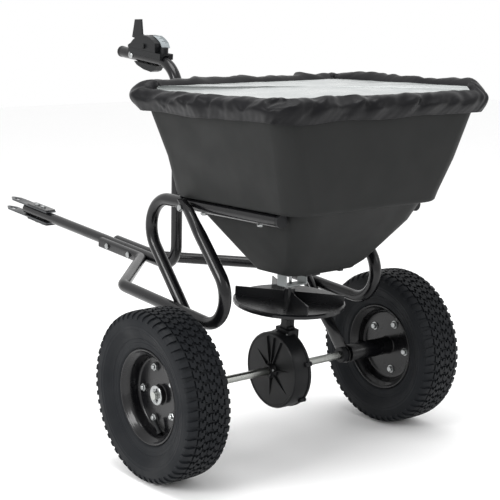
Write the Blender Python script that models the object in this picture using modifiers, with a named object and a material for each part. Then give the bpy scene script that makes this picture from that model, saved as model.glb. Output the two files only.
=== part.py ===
"""Tow-behind broadcast spreader for lawns: hopper, tube frame, ground-driven impeller.

Metres, +Z up, ground at Z = 0. -X is the towing direction, +Y is the right wheel.
The pieces are placed in an axle frame: an empty on the ground, under the axle's middle.
"""
import math

import bmesh
import bpy
from mathutils import Matrix, Vector

# Driving dimensions
HITCH_REACH = 1.178            # strap tip, ahead of the axle
REAR_REACH = 0.304             # cover's rear edge, behind the axle
AXLE_X = (HITCH_REACH - REAR_REACH) / 2
GAP = 0.0003                   # between pieces that touch

WHEEL_RADIUS = 0.165
TYRE_WIDTH = 0.098
HALF_TRACK = 0.300
RIM_FLANGE_RADIUS = 0.0915
RIM_BARREL_RADIUS = 0.0765
RIM_HALF_WIDTH = 0.031
DISC_Y = 0.297                 # rim's disc, from the middle of the axle
SHEET = 0.0025                 # rim steel
AXLE_RADIUS = 0.008
AXLE_HALF_LENGTH = 0.318
HUB_RADIUS = 0.0185
HUB_INNER_Y = 0.1765
HUB_OUTER_Y = 0.3095

TUBE_RADIUS = 0.0125
SUPPORT_Y = 0.1685             # inner loops, under the hopper
SIDE_Y = 0.194                 # outer loops
SUPPORT_Z = 0.507
SUPPORT_REAR_X = 0.191
LEG_LEAN = 0.863               # forward run of the support leg for each metre of height
SUPPORT_BEND = 0.0625
SIDE_BEND = 0.060
RAIL_FRONT = Vector((-0.294, 0.312))     # side rail, X and Z
RAIL_REAR = Vector((0.148, 0.276))
UPRIGHT_TOP = Vector((-0.078, 0.526))
FRAME_BOLT = Vector((-0.069, 0.5035))
UPRIGHT_CUT_Z = 0.5190         # side tubes end level, under the hopper's shelf
PRESSED = 0.30                 # how far the side tubes' tops are squeezed
HOPPER_BOLTS_X = (-0.038, 0.137)

DRAWBAR_REAR = Vector((-0.500, 0.0, 0.3215))
DRAWBAR_LENGTH = 0.576
DRAWBAR_RISE = math.radians(4.4)
DRAWBAR_JOINT = -0.080         # drawbar meets the post's foot here
LEG_HALF = 0.009               # flattened front legs of the side tubes
LEG_Y = TUBE_RADIUS + LEG_HALF + GAP
LEG_FRONT = -0.160
DRAWBAR_BOLTS = (-0.120, -0.028)
STRAP_THICK = 0.004
STRAP_WIDTH = 0.028
STRAP_RELIEF = 0.0001          # straps are this much thinner each side, behind their tongues
CLAMP_THICK = 0.003
HITCH_BOLTS = (-0.518, -0.486)

POST_X = -0.378                 # post's lower corner
POST_TOP_X = -0.362
POST_TOP_Z = 0.7645
POST_RISE = math.radians(6.1)
POST_FORWARD = 0.219
LEVER_PIVOT = Vector((-0.1105, 0.0, 0.0265))     # in the post's top frame
LEVER_THICK = 0.004
CHEEK = (0.0028, 0.0175)        # quadrant's cheeks, from the middle plane
QUADRANT_BOLT_X = -0.1705
BOLT_RADIUS = 0.003

GEARBOX_RADIUS = 0.0780
GEARBOX_FRONT_Y = -0.033
SHAFT_Y = 0.004
SHAFT_RADIUS = 0.003
SHAFT_LEAN = math.radians(5.0)
DISC_HEIGHT = 0.1385            # impeller disc above the axle, along the shaft
IMPELLER_RADIUS = 0.113
BLADE_HEIGHT = 0.024
BLADE_ANGLES = (44.0, 159.0, 224.0, 339.0)
CROWN_TEETH = 24
PINION_TEETH = 6
CROWN_MEAN = 0.046
PINION_PITCH = CROWN_MEAN * PINION_TEETH / CROWN_TEETH
TOOTH_SHARE = 0.34             # tooth thickness over pitch

RIM_TOP_Z = 0.722
HOPPER_WALL = 0.0035
FLOOR_Z = 0.383
PORT_X = (0.046, 0.086)
PORT_HALF_Y = 0.030
SHUTTER_THICK = 0.003
COVER_CLEARANCE = 0.0015       # cover's skirt, outside the hopper's rim

# Hopper's outside, from the floor up: height, front X, rear X, half width, corner radius
HOPPER_SECTIONS = (
    (FLOOR_Z, 0.004, 0.127, 0.088, 0.028),
    (0.401, -0.012, 0.150, 0.098, 0.032),
    (0.484, -0.090, 0.224, 0.145, 0.042),
    (0.5198, -0.120, 0.248, 0.1545, 0.045),
    (0.5202, -0.128, 0.252, 0.181, 0.045),
    (0.5290, -0.134, 0.258, 0.187, 0.045),
    (0.602, -0.121, 0.274, 0.2145, 0.042),
    (0.709, -0.137, 0.292, 0.2495, 0.040),
    (0.7092, -0.144, 0.2985, 0.2560, 0.042),
    (RIM_TOP_Z, -0.144, 0.2985, 0.2560, 0.042),
)


def clear_scene():
    for old in list(bpy.data.objects):
        bpy.data.objects.remove(old, do_unlink=True)


clear_scene()
SPREADER = bpy.data.collections.new("garden_spreader")
CUTTERS = bpy.data.collections.new("cutters")
bpy.context.scene.collection.children.link(SPREADER)
bpy.context.scene.collection.children.link(CUTTERS)


def material(name, colour, roughness, metallic=0.0):
    made = bpy.data.materials.new(name)
    made.use_nodes = True
    shader = made.node_tree.nodes["Principled BSDF"]
    shader.inputs["Base Color"].default_value = (*colour, 1.0)
    shader.inputs["Roughness"].default_value = roughness
    shader.inputs["Metallic"].default_value = metallic
    return made


BLACK_PAINT = material("black_paint", (0.012, 0.012, 0.014), 0.25)
ZINC = material("zinc", (0.62, 0.63, 0.64), 0.32, 1.0)
HOPPER_PLASTIC = material("hopper_plastic", (0.040, 0.042, 0.042), 0.62)
BLACK_PLASTIC = material("black_plastic", (0.016, 0.017, 0.019), 0.42)
TYRE_RUBBER = material("tyre_rubber", (0.018, 0.020, 0.023), 0.72)
COVER_CLOTH = material("cover_cloth", (0.014, 0.014, 0.016), 0.70)
SCALE_GREY = material("scale_grey", (0.45, 0.47, 0.48), 0.5)


def empty(name, location, parent=None, turn_y=0.0):
    made = bpy.data.objects.new(name, None)
    made.location = location
    made.rotation_euler = (0.0, turn_y, 0.0)
    made.parent = parent
    SPREADER.objects.link(made)
    return made


def place(name, data, look, parent, location=(0, 0, 0), rotation=(0, 0, 0)):
    """Link an object to the spreader, with its own material."""
    made = bpy.data.objects.new(name, data)
    if look is not None:
        data.materials.append(look)
    made.parent = parent
    made.location = location
    made.rotation_euler = rotation
    SPREADER.objects.link(made)
    return made


def as_mesh(name, build):
    data = bpy.data.meshes.new(name)
    build.to_mesh(data)
    build.free()
    return data


def loft(rings, closed=False):
    """Skin equal rings of points in order; ends are capped, or joined when closed."""
    build = bmesh.new()
    loops = [[build.verts.new(point) for point in ring] for ring in rings]
    count = len(loops[0])
    pairs = list(zip(loops, loops[1:]))
    if closed:
        pairs.append((loops[-1], loops[0]))
    for low, high in pairs:
        for index in range(count):
            after = (index + 1) % count
            build.faces.new((low[index], low[after], high[after], high[index]))
    if not closed:
        build.faces.new(loops[0])
        build.faces.new(loops[-1])
    bmesh.ops.recalc_face_normals(build, faces=build.faces)
    return build


def smooth(data, degrees=35.0):
    data.shade_smooth()
    data.set_sharp_from_angle(angle=math.radians(degrees))


def cylinder(name, radius, length, look, parent, location, axis="Z", sides=24):
    """A plain round bar, its middle at location."""
    build = bmesh.new()
    bmesh.ops.create_cone(build, cap_ends=True, segments=sides, radius1=radius, radius2=radius,
                          depth=length)
    data = as_mesh(name, build)
    smooth(data)
    turn = {"X": (0, math.pi / 2, 0), "Y": (math.pi / 2, 0, 0), "Z": (0, 0, 0)}[axis]
    return place(name, data, look, parent, location, turn)


def block(name, low, high, look, parent):
    """A box between two corners in its parent's frame."""
    build = bmesh.new()
    bmesh.ops.create_cube(build, size=1.0)
    low, high = Vector(low), Vector(high)
    bmesh.ops.scale(build, vec=high - low, verts=build.verts)
    return place(name, as_mesh(name, build), look, parent, (low + high) / 2)


def turned(name, profile, look, parent, location=(0, 0, 0), along_y=True, steps=32, side=1.0):
    """A closed profile of (radius, height) turned about its axis, which side may reverse."""
    data = bpy.data.meshes.new(name)
    if side < 0:
        profile = [(radius, -height) for radius, height in reversed(profile)]
    count = len(profile)
    points = [(radius, 0.0, height) for radius, height in profile]
    data.from_pydata(points, [(i, (i + 1) % count) for i in range(count)], [])
    made = place(name, data, look, parent, location, (-math.pi / 2 if along_y else 0.0, 0, 0))
    screw = made.modifiers.new("turn", "SCREW")
    screw.axis = "Z"
    screw.steps = steps
    screw.render_steps = steps
    screw.use_merge_vertices = True
    screw.merge_threshold = 0.00002
    screw.use_smooth_shade = True
    return made


def boolean(target, cutter, operation="DIFFERENCE"):
    """Cut or join with another object, which moves to the cutters."""
    step = target.modifiers.new(cutter.name, "BOOLEAN")
    step.operation = operation
    step.solver = "EXACT"
    step.object = cutter
    if CUTTERS not in cutter.users_collection:
        SPREADER.objects.unlink(cutter)
        CUTTERS.objects.link(cutter)
        cutter.hide_render = True
        cutter.display_type = "WIRE"


def hole(targets, name, radius, length, parent, location, axis, sides=12):
    """One round cutter through every target."""
    cutter = cylinder(name, radius, length, None, parent, location, axis, sides)
    for target in targets:
        boolean(target, cutter)


def rounded_path(corners, turn_step=math.radians(23)):
    """Points along straight runs whose corners are arcs; corners holds (point, radius)."""
    path = []
    for index, (corner, radius) in enumerate(corners):
        corner = Vector(corner)
        if radius == 0:
            path.append(corner)
            continue
        back = (Vector(corners[index - 1][0]) - corner).normalized()
        ahead = (Vector(corners[index + 1][0]) - corner).normalized()
        half = back.angle(ahead) / 2
        middle = corner + (back + ahead).normalized() * (radius / math.sin(half))
        start = corner + back * (radius / math.tan(half)) - middle
        end = corner + ahead * (radius / math.tan(half)) - middle
        sweep = start.angle(end)
        steps = max(2, math.ceil(sweep / turn_step))
        for step in range(steps + 1):
            share = step / steps
            spoke = (start * math.sin((1 - share) * sweep) + end * math.sin(share * sweep))
            path.append(middle + spoke / math.sin(sweep))
    return path


def bar_curve(name, path, radius, look, parent, resolution=4):
    """A round bar along a path, as a curve with filled ends."""
    data = bpy.data.curves.new(name, "CURVE")
    data.dimensions = "3D"
    data.bevel_depth = radius
    data.bevel_resolution = resolution
    data.use_fill_caps = True
    line = data.splines.new("POLY")
    line.points.add(len(path) - 1)
    for point, where in zip(line.points, path):
        point.co = (*where, 1.0)
    return place(name, data, look, parent)


def bar_mesh(name, path, radius, look, parent, shape=None):
    """The same bar as a mesh, whose points shape() may press flat."""
    curve = bar_curve(name + "_guide", path, radius, look, parent)
    bpy.context.view_layer.update()
    graph = bpy.context.evaluated_depsgraph_get()
    data = bpy.data.meshes.new_from_object(curve.evaluated_get(graph))
    data.name = name
    build = bmesh.new()
    build.from_mesh(data)
    bmesh.ops.remove_doubles(build, verts=build.verts, dist=0.00005)
    if shape is not None:
        for vert in build.verts:
            vert.co = shape(vert.co)
    build.to_mesh(data)
    build.free()
    smooth(data, 50.0)
    bpy.data.objects.remove(curve, do_unlink=True)
    return place(name, data, None, parent)


def plate(name, outlines, thickness, look, parent, location=(0, 0, 0), upright=True):
    """A flat plate: outlines in its own X and Z when upright, else X and Y."""
    data = bpy.data.curves.new(name, "CURVE")
    data.dimensions = "2D"
    data.fill_mode = "BOTH"
    data.extrude = thickness / 2
    for outline in outlines:
        line = data.splines.new("POLY")
        line.points.add(len(outline) - 1)
        line.use_cyclic_u = True
        for point, (along, up) in zip(line.points, outline):
            point.co = (along, up, 0.0, 1.0)
    return place(name, data, look, parent, location, (math.pi / 2 if upright else 0.0, 0, 0))


def arc(centre, radius, start, end, steps):
    """Points of an arc, its angles in degrees."""
    turns = [math.radians(start + (end - start) * step / steps) for step in range(steps + 1)]
    return [(centre[0] + radius * math.cos(t), centre[1] + radius * math.sin(t)) for t in turns]


def bolt(name, parent, head, tip, look=ZINC, radius=BOLT_RADIUS, head_radius=0.0072, nut=True):
    """A hexagon bolt from the underside of its head to the far face, with its nut outside."""
    head, tip = Vector(head), Vector(tip)
    along = (tip - head).normalized()
    across = along.orthogonal().normalized()
    other = along.cross(across)
    length = (tip - head).length
    stations = [(-0.0045, head_radius * 0.8), (-0.0030, head_radius), (-GAP, head_radius),
                (-GAP, radius)]
    if nut:
        stations += [(length + GAP, radius), (length + GAP, head_radius),
                     (length + 0.0050, head_radius), (length + 0.0050, radius * 0.9),
                     (length + 0.0075, radius * 0.9)]
    else:
        stations += [(length, radius)]
    rings = []
    for distance, size in stations:
        middle = head + along * distance
        ring = []
        for corner in range(6):
            turn = corner * math.pi / 3
            ring.append(middle + (across * math.cos(turn) + other * math.sin(turn)) * size)
        rings.append(ring)
    return place(name, as_mesh(name, loft(rings)), look, parent)


AXLE = empty("axle_frame", (AXLE_X, 0, 0))
WHEELS = empty("wheel_axis", (0, 0, WHEEL_RADIUS), AXLE)
SHAFT = empty("shaft_axis", (0, SHAFT_Y, WHEEL_RADIUS), AXLE, SHAFT_LEAN)
DRAWBAR = empty("drawbar_frame", DRAWBAR_REAR, AXLE, DRAWBAR_RISE)
POST_TOP = empty("post_top_frame", (POST_TOP_X, 0, POST_TOP_Z), AXLE, POST_RISE)
LEVER = empty("lever_axis", LEVER_PIVOT, POST_TOP)


def make_wheel(side, label):
    """Tyre, two pressed rim halves, inner tube and hub of one wheel."""
    middle = side * HALF_TRACK
    half = TYRE_WIDTH / 2
    top = WHEEL_RADIUS
    outer = [(0.0872, RIM_HALF_WIDTH - 0.0060), (0.0955, RIM_HALF_WIDTH + 0.0040),
             (0.113, RIM_HALF_WIDTH + 0.0060), (0.124, half - 0.005), (0.140, half),
             (0.155, half - 0.001), (0.162, half - 0.008), (top, half - 0.022)]
    inner = [(0.156, half - 0.020), (0.148, half - 0.007), (0.130, half - 0.009),
             (0.117, RIM_HALF_WIDTH), (0.0845, RIM_HALF_WIDTH - 0.013)]
    up_side = outer + [(radius, -height) for radius, height in reversed(outer)]
    down_side = [(r, -h) for r, h in inner[::-1]] + inner
    turned("tyre_" + label, up_side + down_side, TYRE_RUBBER, WHEELS, (0, middle, 0), steps=28)

    disc = DISC_Y - HALF_TRACK
    well = RIM_BARREL_RADIUS
    edge = RIM_HALF_WIDTH
    lip = RIM_FLANGE_RADIUS

    def half_rim(name, face, flange, centre_hole):
        """From the disc's centre hole, out along the barrel to the rolled flange."""
        way = 1.0 if flange > face else -1.0
        sheet = SHEET * way
        depth = flange - face
        skin = [(centre_hole, face), (0.0655, face), (0.0715, face + 0.10 * depth),
                (well - SHEET, face + 0.35 * depth), (well + 0.002, face + 0.72 * depth),
                (lip - 0.006, flange), (lip - 0.001, flange + 0.003 * way),
                (lip, flange + 0.0005 * way), (lip - 0.004, flange - sheet - 0.0008 * way),
                (well + 0.0045, face + 0.72 * depth - sheet), (well, face + 0.32 * depth),
                (0.0735, face + 0.07 * depth - 0.0008 * way),
                (0.0670, face - sheet), (centre_hole, face - sheet)]
        if way < 0:
            skin.reverse()
        skin = [(radius, height * side) for radius, height in skin]
        if side < 0:
            skin.reverse()
        return turned(name, skin, BLACK_PAINT, WHEELS, (0, middle, 0), steps=24)

    bore = HUB_RADIUS + GAP
    half_rim("rim_outer_" + label, disc + SHEET + GAP / 2, edge, bore)
    half_rim("rim_inner_" + label, disc - SHEET - GAP / 2, -edge, bore)

    hub = [(AXLE_RADIUS + 0.0005, HUB_OUTER_Y), (HUB_RADIUS, HUB_OUTER_Y),
           (HUB_RADIUS, HUB_INNER_Y), (AXLE_RADIUS + 0.0005, HUB_INNER_Y)]
    turned("hub_" + label, hub, BLACK_PAINT, WHEELS, steps=24, side=side)
    washer_in = HUB_OUTER_Y + GAP
    washer = [(AXLE_RADIUS + GAP, washer_in + 0.002), (0.019, washer_in + 0.002),
              (0.019, washer_in), (AXLE_RADIUS + GAP, washer_in)]
    turned("wheel_washer_" + label, washer, ZINC, WHEELS, steps=24, side=side)


def make_axle():
    """The axle rod, its cross pins and the crown gear that it turns."""
    axle = cylinder("axle", AXLE_RADIUS, 2 * AXLE_HALF_LENGTH, ZINC, WHEELS, (0, 0, 0), "Y", 20)
    pin_y = HUB_OUTER_Y + 0.0052
    for side, label in ((-1, "left"), (1, "right")):
        bolt("cotter_" + label, WHEELS, (0, side * pin_y, AXLE_RADIUS + GAP),
             (0, side * pin_y, -AXLE_RADIUS - GAP), radius=0.0013, head_radius=0.0021)
        hole([axle], "cotter_hole_" + label, 0.0017, 0.04, WHEELS, (0, side * pin_y, 0), "Z", 8)

    crown_y = SHAFT_Y - PINION_PITCH
    root = crown_y - 0.0030
    tip = crown_y + 0.0022
    front = root - 0.007
    pitch = math.tau / CROWN_TEETH
    half_tooth = pitch * TOOTH_SHARE / 2
    phase = math.pi / 2 - SHAFT_LEAN + pitch / 2
    turns = []
    for tooth in range(CROWN_TEETH):
        centre = phase + tooth * pitch
        turns += [(centre - half_tooth * 1.25, False), (centre - half_tooth * 0.75, True),
                  (centre + half_tooth * 0.75, True), (centre + half_tooth * 1.25, False)]
    bore = AXLE_RADIUS + GAP
    land = CROWN_MEAN - 0.0045
    crest = CROWN_MEAN + 0.0045
    rings = []
    for radius, low, high in ((bore, front, front), (0.056, front, front), (0.056, root, root),
                              (crest, root, tip), (land, root, tip), (bore, root, root)):
        rings.append([(radius * math.cos(turn), high if raised else low, radius * math.sin(turn))
                      for turn, raised in turns])
    gear = place("drive_gear", as_mesh("drive_gear", loft(rings, closed=True)), BLACK_PLASTIC,
                 WHEELS)
    pin_y = (front + root) / 2
    bolt("drive_pin", WHEELS, (0, pin_y, 0.030), (0, pin_y, -0.030), radius=0.0018,
         head_radius=0.0019, nut=False)
    hole([axle, gear], "drive_pin_hole", 0.0023, 0.062, WHEELS, (0, pin_y, -0.002), "Z", 12)
    slot = block("drive_pin_slot", (-0.0024, pin_y - 0.0024, 0.0), (0.0024, pin_y + 0.0024, 0.070),
                 None, WHEELS)
    boolean(gear, slot)


def make_gearbox():
    """Two moulded halves round the crown gear, split in the plane of the upright shaft."""
    outer = GEARBOX_RADIUS
    wall = 0.0035
    front = GEARBOX_FRONT_Y
    split = SHAFT_Y
    bore = AXLE_RADIUS + 0.0005
    left = [(outer, split - GAP), (outer, front + 0.003), (outer - 0.003, front), (0.015, front),
            (0.013, front - 0.010), (bore, front - 0.010), (bore, front + wall),
            (outer - wall - 0.002, front + wall), (outer - wall, front + wall + 0.002),
            (outer - wall, split - GAP)]
    back = 0.026
    right = [(outer - wall, split + GAP), (outer - wall, 0.006), (0.042, back - wall),
             (bore, back - wall), (bore, back + 0.006), (0.013, back + 0.006), (0.015, back),
             (0.043, back), (outer - 0.004, 0.009), (outer, 0.007), (outer, split + GAP)]
    shells = [turned("gearbox_left", left, BLACK_PLASTIC, WHEELS, steps=24),
              turned("gearbox_right", right, BLACK_PLASTIC, WHEELS, steps=24)]
    for shell, side in zip(shells, (-1, 1)):
        neck = cylinder(shell.name + "_neck", 0.0105, 0.036, None, SHAFT, (0, 0, 0.086), "Z", 20)
        trim = block(shell.name + "_neck_trim", (-0.02, 0 if side < 0 else -0.02, 0.05),
                     (0.02, 0.02 if side < 0 else 0, 0.12), None, SHAFT)
        trim.location.y -= side * -GAP
        boolean(neck, trim)
        boolean(shell, neck, "UNION")
        for index in range(6):
            turn = math.radians(17 + 60 * index)
            span = (split - 0.011, split - GAP) if side < 0 else (split + GAP, 0.0085)
            middle = (math.cos(turn) * (outer + 0.001), (span[0] + span[1]) / 2,
                      math.sin(turn) * (outer + 0.001))
            lug = cylinder("%s_lug_%d" % (shell.name, index), 0.0048, span[1] - span[0], None,
                           WHEELS, middle, "Y", 10)
            boolean(shell, lug, "UNION")
    hole(shells, "gearbox_shaft_hole", SHAFT_RADIUS + 0.0005, 0.050, SHAFT, (0, 0, 0.090), "Z")
    keep = cylinder("gearbox_cavity", 0.0135, 0.021, None, SHAFT, (0, 0, 0.0565), "Z", 20)
    for shell in shells:
        boolean(shell, keep)


def make_impeller():
    """Shaft, pinion, spreading disc with four fins, and the agitator inside the hopper."""
    low, high = 0.0375, 0.245
    cylinder("impeller_shaft", SHAFT_RADIUS, high - low, ZINC, SHAFT, (0, 0, (low + high) / 2),
             "Z", 12)
    bore = SHAFT_RADIUS + GAP
    pitch = math.tau / PINION_TEETH
    half_tooth = pitch * TOOTH_SHARE / 2
    outline = []
    for tooth in range(PINION_TEETH):
        centre = -math.pi / 2 + tooth * pitch
        outline += [(centre - half_tooth * 1.35, PINION_PITCH - 0.0032),
                    (centre - half_tooth * 0.65, PINION_PITCH + 0.0020),
                    (centre + half_tooth * 0.65, PINION_PITCH + 0.0020),
                    (centre + half_tooth * 1.35, PINION_PITCH - 0.0032)]
    rings = []
    for z, inside in ((0.0415, False), (0.0505, False), (0.0505, True), (0.0415, True)):
        rings.append([(math.cos(turn) * (bore if inside else radius),
                       math.sin(turn) * (bore if inside else radius), z)
                      for turn, radius in outline])
    place("pinion", as_mesh("pinion", loft(rings, closed=True)), BLACK_PLASTIC, SHAFT)

    rim = IMPELLER_RADIUS
    profile = [(bore, 0.030), (0.0105, 0.030), (0.0130, 0.0030), (rim - 0.005, 0.0060),
               (rim, 0.0042), (rim, -0.0015), (rim - 0.0025, -0.0015), (rim - 0.0030, 0.0022),
               (0.0130, -0.0010), (0.0130, -0.012), (bore, -0.012)]
    disc = turned("impeller", profile, BLACK_PLASTIC, SHAFT, (0, 0, DISC_HEIGHT), along_y=False,
                  steps=32)
    for index, degrees in enumerate(BLADE_ANGLES):
        fin = block("fin_%d" % index, (0.0065, -0.0012, 0.0035), (rim - 0.003, 0.0012, BLADE_HEIGHT),
                    None, SHAFT)
        turn = Matrix.Rotation(math.radians(degrees), 4, "Z")
        fin.location = turn @ fin.location + Vector((0, 0, DISC_HEIGHT))
        fin.rotation_euler = (0, 0, math.radians(degrees))
        boolean(disc, fin, "UNION")
    cylinder("agitator", 0.0018, 0.050, ZINC, SHAFT, (0, 0, high + 0.0021), "X", 8)


def support_shape(side):
    """Press the lower end of a support tube into a plate with a round end."""
    run = Vector((-LEG_LEAN, 0.0, 1.0)).normalized()
    across = Vector((run.z, 0.0, -run.x))
    foot = Vector((0.0, side * SUPPORT_Y, WHEEL_RADIUS))

    def shape(point):
        rel = point - foot
        along = rel.dot(run)
        if along > 0.085 or point.z > SUPPORT_Z - 0.03:
            return point
        flat = min(1.0, (0.085 - along) / 0.045)
        sideways = rel.dot(across) * (1 + 0.44 * flat)
        if along < 0:
            sideways *= math.sqrt(max(0.09, 1 - (along / 0.0185) ** 2))
        return foot + run * along + across * sideways + Vector((0, rel.y * (1 - 0.8 * flat), 0))

    return shape


def side_shape(side):
    """Press a side tube flat where it meets the drawbar and the support tube."""
    def shape(point):
        made = point.copy()
        if point.x < -0.430:
            reach = max(side * point.y, LEG_Y - LEG_HALF)
            if point.x < -0.500:
                reach = min(reach, LEG_Y + LEG_HALF)
            made.y = side * reach
        if point.z > 0.455:
            flat = min(1.0, (point.z - 0.455) / 0.030)
            made.y = side * SIDE_Y + (point.y - side * SIDE_Y) * (1 - PRESSED * flat)
            made.z = min(point.z, UPRIGHT_CUT_Z)
        return made

    return shape


def make_frame():
    """Drawbar, hitch, both tube loops on each side, and the bolts that hold them."""
    drawbar = bar_mesh("drawbar", [(DRAWBAR_JOINT - GAP, 0, 0), (-DRAWBAR_LENGTH, 0, 0)],
                       TUBE_RADIUS, BLACK_PAINT, DRAWBAR)
    rise = math.tan(POST_RISE)
    foot = Vector((DRAWBAR_JOINT + GAP, 0, 0))
    foot_world = DRAWBAR_REAR + Matrix.Rotation(DRAWBAR_RISE, 3, "Y") @ foot
    corner_z = DRAWBAR_REAR.z - (POST_X - DRAWBAR_REAR.x) * math.tan(DRAWBAR_RISE)
    post_path = rounded_path([(foot_world, 0), ((POST_X, 0, corner_z), 0.050),
                              ((POST_TOP_X, 0, POST_TOP_Z), 0.070),
                              ((POST_TOP_X - POST_FORWARD, 0, POST_TOP_Z + POST_FORWARD * rise), 0)])
    post = bar_mesh("handle_post", post_path, TUBE_RADIUS, BLACK_PAINT, AXLE)

    legs, supports = [], []
    for side, label in ((-1, "left"), (1, "right")):
        turn = Matrix.Rotation(DRAWBAR_RISE, 3, "Y")
        leg_front = DRAWBAR_REAR + turn @ Vector((LEG_FRONT, side * LEG_Y, 0))
        leg_mid = DRAWBAR_REAR + turn @ Vector((-0.012, side * LEG_Y, 0))
        leg_rear = DRAWBAR_REAR + turn @ Vector((0.013, side * LEG_Y, 0))
        top_run = (Vector((UPRIGHT_TOP.x, UPRIGHT_TOP.y)) - RAIL_REAR).normalized()
        press = [RAIL_REAR + top_run * share for share in (0.240, 0.268, 0.300)]
        corners = [(leg_front, 0), (leg_mid, 0), (leg_rear, 0.030),
                   ((RAIL_FRONT.x, side * SIDE_Y, RAIL_FRONT.y), 0.035),
                   ((RAIL_REAR.x, side * SIDE_Y, RAIL_REAR.y), SIDE_BEND)]
        corners += [((spot.x, side * SIDE_Y, spot.y), 0) for spot in press]
        corners += [((UPRIGHT_TOP.x, side * SIDE_Y, UPRIGHT_TOP.y), 0)]
        legs.append(bar_mesh("side_tube_" + label, rounded_path(corners), TUBE_RADIUS,
                             BLACK_PAINT, AXLE, side_shape(side)))

        run = Vector((-LEG_LEAN, 0.0, 1.0)).normalized()
        eye = Vector((0.0, side * SUPPORT_Y, WHEEL_RADIUS))
        low = [(eye + run * along, 0) for along in (-0.0180, -0.016, -0.011, 0, 0.040, 0.062, 0.085)]
        top_x = -LEG_LEAN * (SUPPORT_Z - WHEEL_RADIUS)
        low += [((top_x, side * SUPPORT_Y, SUPPORT_Z), SUPPORT_BEND),
                ((SUPPORT_REAR_X, side * SUPPORT_Y, SUPPORT_Z), 0)]
        supports.append(bar_mesh("support_tube_" + label, rounded_path(low), TUBE_RADIUS,
                                 BLACK_PAINT, AXLE, support_shape(side)))
        cap_x = SUPPORT_REAR_X + GAP + 0.0035
        cylinder("tube_cap_" + label, TUBE_RADIUS, 0.007, BLACK_PLASTIC, AXLE,
                 (cap_x, side * SUPPORT_Y, SUPPORT_Z), "X", 20)

        hole([supports[-1]], "bush_hole_" + label, 0.0122, 0.02, AXLE,
             (0, side * SUPPORT_Y, WHEEL_RADIUS), "Y", 20)
        bush = [(AXLE_RADIUS + 0.0005, 0.1755), (0.0118, 0.1755), (0.0118, 0.1656),
                (0.0160, 0.1656), (0.0160, 0.1535), (AXLE_RADIUS + 0.0005, 0.1535)]
        turned("axle_bush_" + label, bush, BLACK_PLASTIC, WHEELS, steps=24, side=side)

        outside = SIDE_Y + TUBE_RADIUS * (1 - PRESSED)
        inside = SUPPORT_Y - TUBE_RADIUS
        spot = (FRAME_BOLT.x, side * (outside + inside) / 2, FRAME_BOLT.y)
        hole([legs[-1], supports[-1]], "frame_bolt_hole_" + label, 0.0036, 0.08, AXLE, spot, "Y", 8)
        bolt("frame_bolt_" + label, AXLE, (FRAME_BOLT.x, side * outside, FRAME_BOLT.y),
             (FRAME_BOLT.x, side * (inside + 0.002), FRAME_BOLT.y), nut=False)
        for order, x in zip(("front", "rear"), HOPPER_BOLTS_X):
            base = SUPPORT_Z - TUBE_RADIUS
            hole([supports[-1]], "hopper_bolt_hole_%s_%s" % (order, label), 0.0036, 0.06, AXLE,
                 (x, side * SUPPORT_Y, SUPPORT_Z), "Z", 8)
            bolt("hopper_bolt_%s_%s" % (order, label), AXLE, (x, side * SUPPORT_Y, base),
                 (x, side * SUPPORT_Y, SUPPORT_Z + TUBE_RADIUS + 0.0072))

    for order, x in zip(("front", "rear"), DRAWBAR_BOLTS):
        reach = LEG_Y + LEG_HALF
        hole(legs + [drawbar if order == "front" else post], "drawbar_bolt_hole_" + order, 0.0036,
             0.08, DRAWBAR, (x, 0, 0), "Y", 8)
        bolt("drawbar_bolt_" + order, DRAWBAR, (x, -reach, 0), (x, reach, 0))
    return drawbar, post


def make_hitch():
    """Two flat straps bolted over and under the drawbar's end, to take a drawbar pin."""
    rear = -0.446
    straps = []
    depth = TUBE_RADIUS + GAP + STRAP_THICK
    ahead = -HITCH_REACH - DRAWBAR_REAR.x + depth * math.sin(DRAWBAR_RISE)
    lower_tip = ahead / math.cos(DRAWBAR_RISE)
    for label, side, tip in (("upper", 1, lower_tip + 0.024), ("lower", -1, lower_tip)):
        half = STRAP_WIDTH / 2
        edge = [(tip, 0.0035), (tip, -0.0035), (tip + 0.024, -half), (rear, -half), (rear, half),
                (tip + 0.024, half)]
        eye = tip + 0.030
        slot = arc((eye + 0.008, 0), 0.0065, -90, 90, 6) + arc((eye - 0.008, 0), 0.0065, 90, 270, 6)
        height = side * (TUBE_RADIUS + GAP + STRAP_THICK / 2)
        straps.append(plate("hitch_strap_" + label, [edge, slot], STRAP_THICK, ZINC, DRAWBAR,
                            (0, 0, height), upright=False))
        cover = side * (TUBE_RADIUS + 2 * GAP + STRAP_THICK + CLAMP_THICK / 2)
        edge = arc((rear - 0.004, half - 0.004), 0.004, 0, 90, 3)
        edge += arc((-0.545, half - 0.004), 0.004, 90, 180, 3)
        edge += arc((-0.545, 0.004 - half), 0.004, 180, 270, 3)
        edge += arc((rear - 0.004, 0.004 - half), 0.004, 270, 360, 3)
        straps.append(plate("hitch_clamp_" + label, [edge], CLAMP_THICK, BLACK_PAINT, DRAWBAR,
                            (0, 0, cover), upright=False))
    reach = TUBE_RADIUS + 2 * GAP + STRAP_THICK + CLAMP_THICK
    for order, x in zip(("front", "rear"), HITCH_BOLTS):
        bolt("hitch_bolt_" + order, DRAWBAR, (x, 0, reach), (x, 0, -reach))
    return straps


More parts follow.
